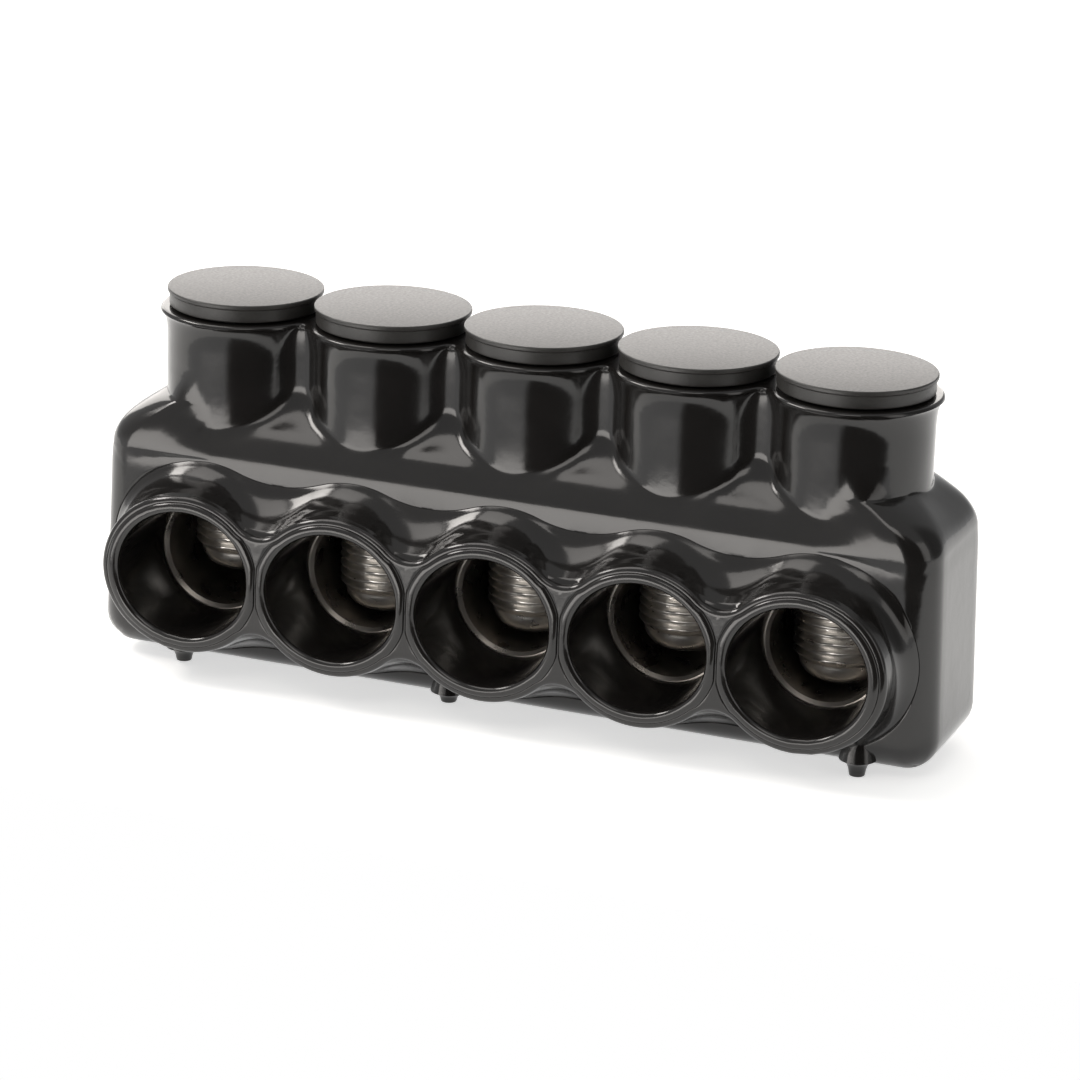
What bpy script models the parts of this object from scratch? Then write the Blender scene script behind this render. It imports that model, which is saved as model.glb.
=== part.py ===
"""Insulated tap connector: a drilled metal bus block with one set screw to each wire port.

The block sits in a one-piece dip-moulded jacket. Wire collars stand out of the jacket's
front, screw chimneys stand out of its top, and a push-in plug closes each chimney.
Metres, +Z up. X runs along the row of ports, the ports open towards -Y, and the origin is
on the flat underside, below the screw axis of the middle port.
"""

import math

import bmesh
import bpy

# Row of ports
PORT_COUNT = 5
FIT_GAP = 0.0003

# Metal block, drilled along Y for the wires and along Z for the screws
WIRE_BORE_RADIUS = 0.0092
WIRE_BORE_CHAMFER = 0.0007
SCREW_RADIUS = 0.00775
SCREW_HOLE_CHAMFER = 0.0006
BLOCK_FLOOR = 0.0045
BLOCK_ROOF = 0.0099
BLOCK_SIDE_WALL = 0.00145
BLOCK_END_WALL = 0.0060
BLOCK_EDGE = 0.0008

# Jacket over the block
JACKET_WALL = 0.0032
JACKET_FRONT_PAD = 0.0020
JACKET_CORNER = 0.0052
JACKET_END_DRAFT = 0.0008
SHOULDER_SINK = 0.0011
SHOULDER_HEIGHT = 0.0098

# Screw chimneys on the jacket's top
CHIMNEY_BORE_RADIUS = 0.0099
CHIMNEY_WALL = 0.0028
CHIMNEY_HEIGHT = 0.0200
CHIMNEY_WEB_FILLET = 0.0045
RIM_FLARE = 0.0011
RIM_FLARE_HEIGHT = 0.0045
RIM_WEB_FILLET = 0.0012
RIM_LIP = 0.0006

# Least half thickness of the web between two chimneys or two collars
WEB_HALF_THICKNESS = 0.0050

# Wire collars on the jacket's front
COLLAR_REACH = 0.0090
COLLAR_RADIUS = 0.0139
COLLAR_TAPER = 0.0003
COLLAR_FLARE = 0.0026
COLLAR_FLARE_REACH = 0.0050
COLLAR_LIP = 0.0007
COLLAR_WEB_FILLET = 0.0012
COLLAR_ROOT_FILLET = 0.0210
MOUTH_HALF_HEIGHT = 0.0103
MOUTH_LIP = 0.0005
MOUTH_WEB = 0.0034

# Moulding nubs under the front edge: each one's port, its distance along X and its drop
NUBS = ((1, -0.0044, 0.0011), (3, -0.0093, 0.0006), (5, 0.0075, 0.0015))
NUB_SETBACK = 0.0018
NUB_TIP_RADIUS = 0.0011
NUB_ROOT_RADIUS = 0.0026
NUB_ROOT_HEIGHT = 0.0015
NUB_CORE_HEIGHT = 0.0080

# Set screws, and how far each tip is turned down below the middle of its wire bore
SCREW_TIP_DEPTHS = (0.0046, 0.0078, 0.0073, 0.0064, 0.0076)
SCREW_LENGTH = 0.0220
SCREW_TIP_RADIUS = 0.0068
SCREW_TIP_FLAT_RADIUS = 0.0035
SCREW_DOME_HEIGHT = 0.0034
SCREW_TOP_CHAMFER = 0.0008
SOCKET_ACROSS_FLATS = 0.0080
SOCKET_DEPTH = 0.0090
DRILL_POINT_DEPTH = 0.0015

# Access plugs, whose caps almost touch their neighbours
PLUG_CAP_RADIUS = 0.0127
PLUG_SPACING = 0.0006
PLUG_CAP_THICKNESS = 0.0029
PLUG_EDGE = 0.0003
PLUG_STEM_LENGTH = 0.0080
PLUG_STEM_WALL = 0.0024
PLUG_RIB_DEPTH = 0.0004
PLUG_RIB_WIDTH = 0.0009
PLUG_RIB_STEP = 0.0024

# Facets, and the turns about an end port between which a round corner's facets lie
ARC_STEPS = 5
FILLET_STEPS = 4
SHOULDER_STEPS = 6
FLARE_STEPS = 3
LIP_STEPS = 2
DOME_STEPS = 4
CORNER_STEPS = 3
ROUND_STEPS = 24
CORNER_START = 0.25
CORNER_END = 0.80
CUT_MARGIN = 0.0010
SMOOTH_ANGLE = math.radians(40)

# Sizes that follow from the ones above
PORT_PITCH = 2 * PLUG_CAP_RADIUS + PLUG_SPACING
MOUTH_HALF_WIDTH = (PORT_PITCH - MOUTH_WEB) / 2
PORT_PLACES = [(port - (PORT_COUNT - 1) / 2) * PORT_PITCH for port in range(PORT_COUNT)]
SCREW_HOLE_RADIUS = SCREW_RADIUS + FIT_GAP
BLOCK_HALF_LENGTH = PORT_PLACES[-1] + WIRE_BORE_RADIUS + BLOCK_END_WALL
BLOCK_HALF_DEPTH = SCREW_HOLE_RADIUS + BLOCK_SIDE_WALL
BLOCK_BOTTOM = JACKET_WALL + FIT_GAP
PORT_HEIGHT = BLOCK_BOTTOM + BLOCK_FLOOR + WIRE_BORE_RADIUS
BLOCK_TOP = PORT_HEIGHT + WIRE_BORE_RADIUS + BLOCK_ROOF
JACKET_HALF_LENGTH = BLOCK_HALF_LENGTH + FIT_GAP + JACKET_WALL
JACKET_HALF_DEPTH = BLOCK_HALF_DEPTH + FIT_GAP + JACKET_WALL
JACKET_FRONT = JACKET_HALF_DEPTH + JACKET_FRONT_PAD
MOUTH_PLANE = -JACKET_FRONT - COLLAR_REACH
CHIMNEY_RADIUS = CHIMNEY_BORE_RADIUS + CHIMNEY_WALL
SHOULDER_FOOT = BLOCK_TOP - SHOULDER_SINK
RIM_HEIGHT = BLOCK_TOP + FIT_GAP + CHIMNEY_HEIGHT
PLUG_SEAT = RIM_HEIGHT + FIT_GAP
PLUG_STEM_RADIUS = CHIMNEY_BORE_RADIUS - FIT_GAP


def clear_scene():
    for obj in list(bpy.data.objects):
        bpy.data.objects.remove(obj, do_unlink=True)


def make_material(name, colour, roughness, metallic=0.0):
    material = bpy.data.materials.new(name)
    material.use_nodes = True
    shader = material.node_tree.nodes["Principled BSDF"]
    shader.inputs["Base Color"].default_value = (*colour, 1.0)
    shader.inputs["Roughness"].default_value = roughness
    shader.inputs["Metallic"].default_value = metallic
    return material


def add_piece(name, shape, material=None):
    """Turn a bmesh into an object whose round faces are smooth and whose edges are crisp."""
    bmesh.ops.recalc_face_normals(shape, faces=shape.faces)
    mesh = bpy.data.meshes.new(name)
    shape.to_mesh(mesh)
    shape.free()
    mesh.shade_smooth()
    mesh.set_sharp_from_angle(angle=SMOOTH_ANGLE)
    if material:
        mesh.materials.append(material)
    piece = bpy.data.objects.new(name, mesh)
    bpy.context.scene.collection.objects.link(piece)
    return piece


def combine(piece, name, shape, operation):
    """Join the shape to a piece, or cut it from the piece, with a live Boolean."""
    helper = add_piece(name, shape)
    helper.hide_render = True
    helper.display_type = "WIRE"
    modifier = piece.modifiers.new(name, "BOOLEAN")
    modifier.operation = operation
    modifier.solver = "EXACT"
    modifier.object = helper


def add_loft(shape, rings):
    """Skin rings with equally many points, and close both ends.

    The skin is made of triangles, because its four-cornered patches are seldom flat and a
    Boolean needs flat faces.
    """
    made = [[shape.verts.new(point) for point in ring] for ring in rings]
    for near, far in zip(made, made[1:]):
        for index in range(len(near)):
            shape.faces.new((near[index - 1], near[index], far[index]))
            shape.faces.new((near[index - 1], far[index], far[index - 1]))
    shape.faces.new(made[0])
    shape.faces.new(made[-1])


def add_bar(shape, half_length, half_depth, low, high):
    """A square bar along X, with a ring of edges between each two ports for clean holes."""
    middles = [x + PORT_PITCH / 2 for x in PORT_PLACES[:-1]]
    corners = ((-half_depth, low), (half_depth, low), (half_depth, high), (-half_depth, high))
    add_loft(shape, [[(x, y, z) for y, z in corners] for x in (-half_length, *middles, half_length)])


def add_turned(shape, place, profile, steps=ROUND_STEPS):
    """Turn a (radius, height) profile about the upright axis at the (x, y) place."""
    turns = [2 * math.pi * step / steps for step in range(steps)]
    rings = []
    for radius, z in profile:
        rings.append([(place[0] + radius * math.cos(t), place[1] + radius * math.sin(t), z) for t in turns])
    add_loft(shape, rings)


def ellipse_along_y(x, y, half_width, half_height):
    turns = [2 * math.pi * step / ROUND_STEPS for step in range(ROUND_STEPS)]
    return [(x + half_width * math.cos(t), y, PORT_HEIGHT + half_height * math.sin(t)) for t in turns]


def arc(centre, radius, start, end, steps):
    angles = [start + (end - start) * step / steps for step in range(steps + 1)]
    return [(centre[0] + radius * math.cos(a), centre[1] + radius * math.sin(a)) for a in angles]


def quarter(steps):
    """Pairs of shares along a quarter ellipse: how far it has turned away, and what is left."""
    angles = [math.pi / 2 * step / steps for step in range(steps + 1)]
    return [(1 - math.cos(a), 1 - math.sin(a)) for a in angles]


def row_outline(radius, fillet):
    """Outline of round tubes in a row at the port pitch, with a fillet in each valley.

    A fillet touches both of its circles, and is no smaller than the least web between them
    asks. The upper half runs from the +X end to the -X end, and the lower half is its mirror
    image.
    """
    half_pitch = PORT_PITCH / 2
    needed = half_pitch**2 + WEB_HALF_THICKNESS**2 - radius**2
    fillet = max(fillet, needed / (2 * (radius - WEB_HALF_THICKNESS)))
    fillet_height = math.sqrt((radius + fillet) ** 2 - half_pitch**2)
    lean = math.atan2(fillet_height, half_pitch)
    upper = []
    for port in reversed(range(PORT_COUNT)):
        start = 0.0 if port == PORT_COUNT - 1 else lean
        end = math.pi if port == 0 else math.pi - lean
        steps = ARC_STEPS if start and port else 2 * ARC_STEPS
        upper += arc((PORT_PLACES[port], 0.0), radius, start, end, steps)
        if port:
            valley = (PORT_PLACES[port] - half_pitch, fillet_height)
            upper += arc(valley, fillet, -lean, lean - math.pi, FILLET_STEPS)[1:-1]
    lower = [(u, -v) for u, v in reversed(upper[1:-1])]
    return upper + lower


def body_point(u, v, inset, draft):
    """Where a point of the chimney outline lands on the body's outline, moved in by inset.

    Between the end ports it goes straight out in Y. Past an end port, its turn about that
    port's axis says how far it has come along the end face, the round corner and the side.
    The draft moves the end faces out.
    """
    depth = JACKET_FRONT if v < 0 else JACKET_HALF_DEPTH
    half_depth = depth - inset
    across = math.copysign(1.0, v) if v else 0.0
    if abs(u) <= PORT_PLACES[-1]:
        return u, across * half_depth
    corner = JACKET_CORNER - inset
    corner_x = JACKET_HALF_LENGTH + draft - JACKET_CORNER
    corner_y = depth - JACKET_CORNER
    turn = math.atan2(abs(v), abs(u) - PORT_PLACES[-1]) / (math.pi / 2)
    if turn < CORNER_START:
        x, y = corner_x + corner, corner_y * turn / CORNER_START
    elif turn < CORNER_END:
        angle = math.pi / 2 * (turn - CORNER_START) / (CORNER_END - CORNER_START)
        x, y = corner_x + corner * math.cos(angle), corner_y + corner * math.sin(angle)
    else:
        left = (1 - turn) / (1 - CORNER_END)
        x, y = PORT_PLACES[-1] + (corner_x - PORT_PLACES[-1]) * left, half_depth
    return math.copysign(x, u), across * y


def body_and_chimneys():
    """The jacket's box and chimneys as one loft up Z, from a box outline to a row of tubes."""
    waist = row_outline(CHIMNEY_RADIUS, CHIMNEY_WEB_FILLET)
    rings = []
    for turned, left in quarter(CORNER_STEPS):
        z = JACKET_CORNER * turned
        rings.append([(*body_point(u, v, JACKET_CORNER * left, JACKET_END_DRAFT), z) for u, v in waist])
    for step in range(SHOULDER_STEPS + 1):
        share = step / SHOULDER_STEPS
        inward = share * share * (3 - 2 * share)
        z = SHOULDER_FOOT + SHOULDER_HEIGHT * share
        ring = []
        for u, v in waist:
            x, y = body_point(u, v, 0.0, 0.0)
            ring.append((x + (u - x) * inward, y + (v - y) * inward, z))
        rings.append(ring)
    flare_top = RIM_HEIGHT - RIM_LIP
    for turned, left in quarter(FLARE_STEPS):
        fillet = CHIMNEY_WEB_FILLET + (RIM_WEB_FILLET - CHIMNEY_WEB_FILLET) * turned
        z = flare_top - RIM_FLARE_HEIGHT * left
        rings.append([(u, v, z) for u, v in row_outline(CHIMNEY_RADIUS + RIM_FLARE * turned, fillet)])
    for turned, left in quarter(LIP_STEPS)[1:]:
        radius = CHIMNEY_RADIUS + RIM_FLARE - RIM_LIP * turned
        outline = row_outline(radius, RIM_WEB_FILLET + RIM_LIP * turned)
        rings.append([(u, v, RIM_HEIGHT - RIM_LIP * left) for u, v in outline])
    shape = bmesh.new()
    add_loft(shape, rings)
    return shape


def collar_row():
    """The wire collars' outside as one loft along Y, from inside the body to the mouths."""
    root = -JACKET_FRONT + FIT_GAP / 2
    straight = COLLAR_RADIUS + COLLAR_TAPER
    sections = [(root + JACKET_CORNER / 2, straight + COLLAR_FLARE, 0.0)]
    for turned, left in reversed(quarter(FLARE_STEPS)):
        sections.append((root - COLLAR_FLARE_REACH * left, straight + COLLAR_FLARE * turned, 0.0))
    for turned, left in quarter(LIP_STEPS):
        sections.append((MOUTH_PLANE + COLLAR_LIP * left, COLLAR_RADIUS, COLLAR_LIP * turned))
    spread = COLLAR_ROOT_FILLET / COLLAR_WEB_FILLET
    shape = bmesh.new()
    rings = []
    for y, radius, inward in sections:
        share = min((y - MOUTH_PLANE) / COLLAR_REACH, 1.0)
        fillet = COLLAR_WEB_FILLET * spread**share
        outline = row_outline(radius - inward, fillet + inward)
        rings.append([(u, y, PORT_HEIGHT + v) for u, v in outline])
    add_loft(shape, rings)
    return shape


def nubs():
    shape = bmesh.new()
    place_y = -JACKET_FRONT + NUB_SETBACK
    swell = NUB_ROOT_RADIUS - NUB_TIP_RADIUS
    for port, offset, drop in NUBS:
        tall = drop + NUB_ROOT_HEIGHT
        profile = []
        for turned, left in quarter(FLARE_STEPS):
            profile.append((NUB_TIP_RADIUS + swell * turned, NUB_ROOT_HEIGHT - tall * left))
        profile.append((NUB_ROOT_RADIUS, NUB_CORE_HEIGHT))
        add_turned(shape, (PORT_PLACES[port - 1] + offset, place_y), profile, ROUND_STEPS // 2)
    return shape


def block_cavity():
    shape = bmesh.new()
    low, high = BLOCK_BOTTOM - FIT_GAP, BLOCK_TOP + FIT_GAP
    add_bar(shape, BLOCK_HALF_LENGTH + FIT_GAP, BLOCK_HALF_DEPTH + FIT_GAP, low, high)
    return shape


def wire_passages():
    """The insides of the collars: round at the block, and wider than high at the mouth."""
    shape = bmesh.new()
    inner = WIRE_BORE_RADIUS + WIRE_BORE_CHAMFER + FIT_GAP
    flare = MOUTH_LIP + CUT_MARGIN
    for x in PORT_PLACES:
        sections = (
            (-BLOCK_HALF_DEPTH, inner, inner),
            (MOUTH_PLANE + MOUTH_LIP, MOUTH_HALF_WIDTH, MOUTH_HALF_HEIGHT),
            (MOUTH_PLANE - CUT_MARGIN, MOUTH_HALF_WIDTH + flare, MOUTH_HALF_HEIGHT + flare),
        )
        add_loft(shape, [ellipse_along_y(x, y, wide, high) for y, wide, high in sections])
    return shape


def key_passages():
    """The insides of the chimneys, down to the block."""
    shape = bmesh.new()
    profile = ((CHIMNEY_BORE_RADIUS, BLOCK_TOP), (CHIMNEY_BORE_RADIUS, RIM_HEIGHT + CUT_MARGIN))
    for x in PORT_PLACES:
        add_turned(shape, (x, 0.0), profile)
    return shape


def wire_bores():
    """Drills through the block along Y, with a chamfer at both faces."""
    shape = bmesh.new()
    face = BLOCK_HALF_DEPTH
    wide = WIRE_BORE_RADIUS + WIRE_BORE_CHAMFER + CUT_MARGIN
    for x in PORT_PLACES:
        sections = (
            (-face - CUT_MARGIN, wide),
            (-face + WIRE_BORE_CHAMFER, WIRE_BORE_RADIUS),
            (face - WIRE_BORE_CHAMFER, WIRE_BORE_RADIUS),
            (face + CUT_MARGIN, wide),
        )
        add_loft(shape, [ellipse_along_y(x, y, radius, radius) for y, radius in sections])
    return shape


def screw_holes():
    """Holes from the middle of each wire bore up through the block, with a chamfer on top."""
    shape = bmesh.new()
    profile = (
        (SCREW_HOLE_RADIUS, PORT_HEIGHT),
        (SCREW_HOLE_RADIUS, BLOCK_TOP - SCREW_HOLE_CHAMFER),
        (SCREW_HOLE_RADIUS + SCREW_HOLE_CHAMFER + CUT_MARGIN, BLOCK_TOP + CUT_MARGIN),
    )
    for x in PORT_PLACES:
        add_turned(shape, (x, 0.0), profile)
    return shape


def hex_socket():
    """A six-sided key socket with a drill point below it, for a screw with its tip at Z 0."""
    shape = bmesh.new()
    corner = SOCKET_ACROSS_FLATS / math.sqrt(3)
    floor = SCREW_LENGTH - SOCKET_DEPTH
    point = corner / 4
    profile = ((point, floor - DRILL_POINT_DEPTH), (corner, floor), (corner, SCREW_LENGTH + CUT_MARGIN))
    add_turned(shape, (0.0, 0.0), profile, 6)
    return shape


def make_jacket():
    vinyl = make_material("black vinyl", (0.012, 0.012, 0.012), 0.25)
    jacket = add_piece("insulating_jacket", body_and_chimneys(), vinyl)
    combine(jacket, "collar_row", collar_row(), "UNION")
    combine(jacket, "nubs", nubs(), "UNION")
    combine(jacket, "block_cavity", block_cavity(), "DIFFERENCE")
    combine(jacket, "wire_passages", wire_passages(), "DIFFERENCE")
    combine(jacket, "key_passages", key_passages(), "DIFFERENCE")


def make_block():
    aluminium = make_material("aluminium alloy", (0.55, 0.53, 0.50), 0.32, 1.0)
    shape = bmesh.new()
    add_bar(shape, BLOCK_HALF_LENGTH, BLOCK_HALF_DEPTH, BLOCK_BOTTOM, BLOCK_TOP)
    block = add_piece("bus_block", shape, aluminium)
    edges = block.modifiers.new("broken edges", "BEVEL")
    edges.width = BLOCK_EDGE
    edges.segments = 1
    combine(block, "wire_bores", wire_bores(), "DIFFERENCE")
    combine(block, "screw_holes", screw_holes(), "DIFFERENCE")


def make_screws():
    """One screw for each port, with its origin on the screw axis at the tip."""
    metal = make_material("plated screw metal", (0.50, 0.47, 0.44), 0.30, 1.0)
    profile = []
    for turned, left in quarter(DOME_STEPS):
        dome_width = (SCREW_TIP_RADIUS - SCREW_TIP_FLAT_RADIUS) * (1 - left)
        profile.append((SCREW_TIP_FLAT_RADIUS + dome_width, SCREW_DOME_HEIGHT * turned))
    profile.append((SCREW_RADIUS, SCREW_DOME_HEIGHT + SCREW_RADIUS - SCREW_TIP_RADIUS))
    profile.append((SCREW_RADIUS, SCREW_LENGTH - SCREW_TOP_CHAMFER))
    profile.append((SCREW_RADIUS - SCREW_TOP_CHAMFER, SCREW_LENGTH))
    for port, (x, depth) in enumerate(zip(PORT_PLACES, SCREW_TIP_DEPTHS), start=1):
        shape = bmesh.new()
        add_turned(shape, (0.0, 0.0), profile)
        screw = add_piece(f"set_screw_{port}", shape, metal)
        combine(screw, f"key_socket_{port}", hex_socket(), "DIFFERENCE")
        place = (x, 0.0, PORT_HEIGHT - depth)
        screw.location = place
        screw.modifiers[0].object.location = place


def plug_solid():
    """A cap on a hollow ribbed stem. Z 0 is the underside of the cap."""
    ribbed = PLUG_STEM_RADIUS
    waist = PLUG_STEM_RADIUS - PLUG_RIB_DEPTH
    outside = [(PLUG_CAP_RADIUS - PLUG_EDGE, PLUG_CAP_THICKNESS)]
    outside.append((PLUG_CAP_RADIUS, PLUG_CAP_THICKNESS - PLUG_EDGE))
    outside.append((PLUG_CAP_RADIUS, PLUG_EDGE))
    outside.append((PLUG_CAP_RADIUS - PLUG_EDGE, 0.0))
    outside.append((waist, 0.0))
    z = -PLUG_RIB_STEP
    while z - PLUG_RIB_WIDTH > -PLUG_STEM_LENGTH:
        outside.append((waist, z))
        outside.append((ribbed, z - PLUG_RIB_DEPTH))
        outside.append((waist, z - PLUG_RIB_WIDTH))
        z -= PLUG_RIB_STEP
    outside.append((waist, -PLUG_STEM_LENGTH))
    inner = waist - PLUG_STEM_WALL
    outside.append((inner, -PLUG_STEM_LENGTH))
    outside.append((inner, 0.0))
    shape = bmesh.new()
    add_turned(shape, (0.0, 0.0), outside)
    return shape


def make_plugs():
    """One plug for each chimney, with its origin on the chimney's axis at the plug's seat."""
    plastic = make_material("black plug plastic", (0.03, 0.03, 0.029), 0.55)
    for port, x in enumerate(PORT_PLACES, start=1):
        plug = add_piece(f"access_plug_{port}", plug_solid(), plastic)
        plug.location = (x, 0.0, PLUG_SEAT)


clear_scene()
make_jacket()
make_block()
make_screws()
make_plugs()
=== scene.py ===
# %% [markdown]
# # A five-port insulated tap connector
#
# A drilled metal block sits in a black vinyl jacket. Wires enter the five collars in front, and
# a set screw under each plug clamps its wire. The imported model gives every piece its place, so
# this lesson makes only what the eye sees: smooth skins, cut threads, turned bores and finishes.

# %% Load the fixed frame
import math

import bmesh
import bpy
import numpy as np
from mathutils import Matrix, Vector


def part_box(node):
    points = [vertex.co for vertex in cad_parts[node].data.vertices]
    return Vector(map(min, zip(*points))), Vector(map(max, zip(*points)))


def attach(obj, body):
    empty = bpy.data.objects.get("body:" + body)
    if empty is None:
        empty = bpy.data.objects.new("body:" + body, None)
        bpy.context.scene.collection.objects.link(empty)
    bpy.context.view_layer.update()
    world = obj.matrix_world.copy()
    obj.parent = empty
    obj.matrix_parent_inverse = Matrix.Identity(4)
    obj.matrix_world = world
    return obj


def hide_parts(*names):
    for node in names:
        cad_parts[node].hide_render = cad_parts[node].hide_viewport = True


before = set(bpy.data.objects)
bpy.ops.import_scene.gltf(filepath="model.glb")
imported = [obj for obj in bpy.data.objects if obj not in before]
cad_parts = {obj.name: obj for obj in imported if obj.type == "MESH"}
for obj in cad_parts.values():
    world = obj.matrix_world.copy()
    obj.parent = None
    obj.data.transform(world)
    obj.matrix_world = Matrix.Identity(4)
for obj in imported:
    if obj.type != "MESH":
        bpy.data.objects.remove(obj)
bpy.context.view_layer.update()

MM = 0.001

# %% [markdown]
# ## Measures
#
# The places come from the frame: each screw's box gives a port's axis, and the jacket's box
# gives the mouths and the rims. The other sizes repeat the model's own in millimetres, because
# a box alone can't tell how wide a fillet is.

# %% Places read from the frame
PORT_COUNT = 5


def node_box(name):
    """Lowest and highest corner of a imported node, as two arrays."""
    low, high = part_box(name)
    return np.array(low), np.array(high)


screw_boxes = [node_box(f"set_screw_{port}") for port in range(1, PORT_COUNT + 1)]
plug_boxes = [node_box(f"access_plug_{port}") for port in range(1, PORT_COUNT + 1)]
jacket_low, jacket_high = node_box("insulating_jacket")
block_low, block_high = node_box("bus_block")
ports = np.array([(low[0] + high[0]) / 2 for low, high in screw_boxes])
PITCH = (ports[-1] - ports[0]) / (PORT_COUNT - 1)
END_PORT = ports[-1]
HALF_PITCH = PITCH / 2
END_DRAFT = 0.8 * MM
HALF_LENGTH = jacket_high[0] - END_DRAFT
MOUTH_PLANE = jacket_low[1]
RIM_HEIGHT = jacket_high[2]
NUB_TIP = jacket_low[2]
print(f"port pitch {PITCH / MM:.1f} mm, mouths at y {MOUTH_PLANE / MM:.1f} mm")

# %% Sizes that a box can't give
BORE_RADIUS = 9.2 * MM
BLOCK_FLOOR = 4.5 * MM
PORT_HEIGHT = block_low[2] + BLOCK_FLOOR + BORE_RADIUS
FRONT_DEPTH = 15.0 * MM
BACK_DEPTH = 13.0 * MM
CORNER = 5.2 * MM
SHOULDER_SINK = 1.9 * MM
FRONT_TOP = block_high[2] - SHOULDER_SINK
# The shoulder's lean in degrees, at heights above FRONT_TOP in millimetres.
SHOULDER_LEAN = ((-3.4, 0), (-2.2, 4), (0, 6), (1.6, 24), (3.9, 38), (5.6, 52), (12.2, 52))
SHOULDER_FOOT = FRONT_TOP + SHOULDER_LEAN[0][0] * MM
SHOULDER_TOP = FRONT_TOP + SHOULDER_LEAN[-1][0] * MM
ROW_FILLET_SHARE = 0.45
END_RISE = 8.3 * MM
END_REACH = 14.5 * MM
END_FILLET_SHARE = 0.62
CHIMNEY_RADIUS = 12.7 * MM
CHIMNEY_BORE = 9.9 * MM
CHIMNEY_FILLET = 4.5 * MM
CHIMNEY_FOOT_FLARE = 1.2 * MM
CHIMNEY_FOOT_HEIGHT = 14.0 * MM
RIM_FLARE = 1.1 * MM
RIM_FLARE_HEIGHT = 4.5 * MM
RIM_FILLET = 1.2 * MM
RIM_LIP = 0.6 * MM
COLLAR_RADIUS = 13.9 * MM
COLLAR_TAPER = 0.3 * MM
COLLAR_FLARE = 2.6 * MM
COLLAR_FLARE_REACH = 5.0 * MM
COLLAR_LIP = 0.9 * MM
COLLAR_FILLET = 5.0 * MM
COLLAR_SQUASH = 0.94
COLLAR_WIDEN = 1.035
COLLAR_ROOT_FILLET = 21.0 * MM
MOUTH_HALF_WIDTH = 11.3 * MM
MOUTH_HALF_HEIGHT = 10.3 * MM
PASSAGE_RADIUS = 9.8 * MM
FIT_GAP = 0.3 * MM
TOUCH = 0.003 * MM

# %% [markdown]
# ## From arrays to a mesh
#
# Every skin here is a grid of points worked out as whole arrays. Several grids make one piece:
# they share their border points exactly, so welding points that coincide closes the skin.

# %% Mesh helpers
WELD_REACH = 0.002 * MM
SLIVER = 0.001 * MM


def grid_faces(rows, columns, closed, start=0):
    """Quads of a grid whose points run row by row. A closed grid joins its last column to its first."""
    row, column = np.meshgrid(np.arange(rows - 1), np.arange(columns - (not closed)), indexing="ij")
    beside = (column + 1) % columns
    corners = (row * columns + column, row * columns + beside)
    above = ((row + 1) * columns + beside, (row + 1) * columns + column)
    return np.stack([*corners, *above], axis=-1).reshape(-1, 4) + start


def weld(name, grids, caps=()):
    """One closed mesh object from (points, faces) grids and from loops that each cap a hole."""
    points, faces, start = [], [], 0
    for grid_points, grid in grids:
        points.append(grid_points.reshape(-1, 3))
        faces += (grid + start).tolist()
        start += len(points[-1])
    for loop in caps:
        points.append(loop)
        faces.append(list(range(start, start + len(loop))))
        start += len(loop)
    mesh = bpy.data.meshes.new(name)
    mesh.from_pydata(np.concatenate(points).tolist(), [], faces)
    shape = bmesh.new()
    shape.from_mesh(mesh)
    bmesh.ops.remove_doubles(shape, verts=shape.verts, dist=WELD_REACH)
    bmesh.ops.dissolve_degenerate(shape, edges=shape.edges, dist=SLIVER)
    bmesh.ops.recalc_face_normals(shape, faces=shape.faces)
    open_edges = sum(not edge.is_manifold for edge in shape.edges)
    shape.to_mesh(mesh)
    shape.free()
    piece = bpy.data.objects.new(name, mesh)
    bpy.context.scene.collection.objects.link(piece)
    print(f"{name}: {len(mesh.polygons)} faces, {open_edges} open edges")
    return piece


def dress(piece, node, body, material, sharp=35):
    """Shade the piece, give it its material and let it ride on the body in place of the node."""
    piece.data.shade_smooth()
    piece.data.set_sharp_from_angle(angle=math.radians(sharp))
    piece.data.materials.clear()
    piece.data.materials.append(material)
    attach(piece, body)
    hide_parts(node)


def apply_modifiers(piece):
    """Keep the evaluated mesh and drop the modifiers."""
    graph = bpy.context.evaluated_depsgraph_get()
    mesh = bpy.data.meshes.new_from_object(piece.evaluated_get(graph))
    piece.modifiers.clear()
    piece.data = mesh


def cut(piece, tool, operation):
    """Join or cut with an exact Boolean, and remove the tool."""
    modifier = piece.modifiers.new(tool.name, "BOOLEAN")
    modifier.operation = operation
    modifier.solver = "EXACT"
    modifier.object = tool
    apply_modifiers(piece)
    bpy.data.objects.remove(tool, do_unlink=True)


def turned(profile, steps, place=(0.0, 0.0)):
    """Revolve (radius, height) rows about an upright axis: x = r cos t, y = r sin t, z = h."""
    radius, height = np.asarray(profile).T
    turn = np.linspace(0, 2 * math.pi, steps, endpoint=False)
    x = place[0] + radius[:, None] * np.cos(turn)
    y = place[1] + radius[:, None] * np.sin(turn)
    z = np.broadcast_to(height[:, None], x.shape)
    return np.stack([x, y, z], axis=-1), grid_faces(len(radius), steps, True)


def quarter(steps):
    """Shares along a quarter circle: 1 - cos is how far it has turned, 1 - sin what is left."""
    angle = np.linspace(0, math.pi / 2, steps + 1)
    return 1 - np.cos(angle), 1 - np.sin(angle)


# %% [markdown]
# ## Colour and nodes
#
# Colours are written as the sRGB hex values that a picture shows, and one function turns them
# into the linear values that light adds up in. One more adds a shader node.

# %% Colour and node helpers


def linear(hex_colour):
    """sRGB hex text to linear RGBA: c / 12.92 below 0.04045, else ((c + 0.055) / 1.055) ^ 2.4."""
    srgb = np.array([int(hex_colour[index:index + 2], 16) for index in (1, 3, 5)]) / 255
    rgb = np.where(srgb <= 0.04045, srgb / 12.92, ((srgb + 0.055) / 1.055) ** 2.4)
    return (*rgb.tolist(), 1.0)


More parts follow.
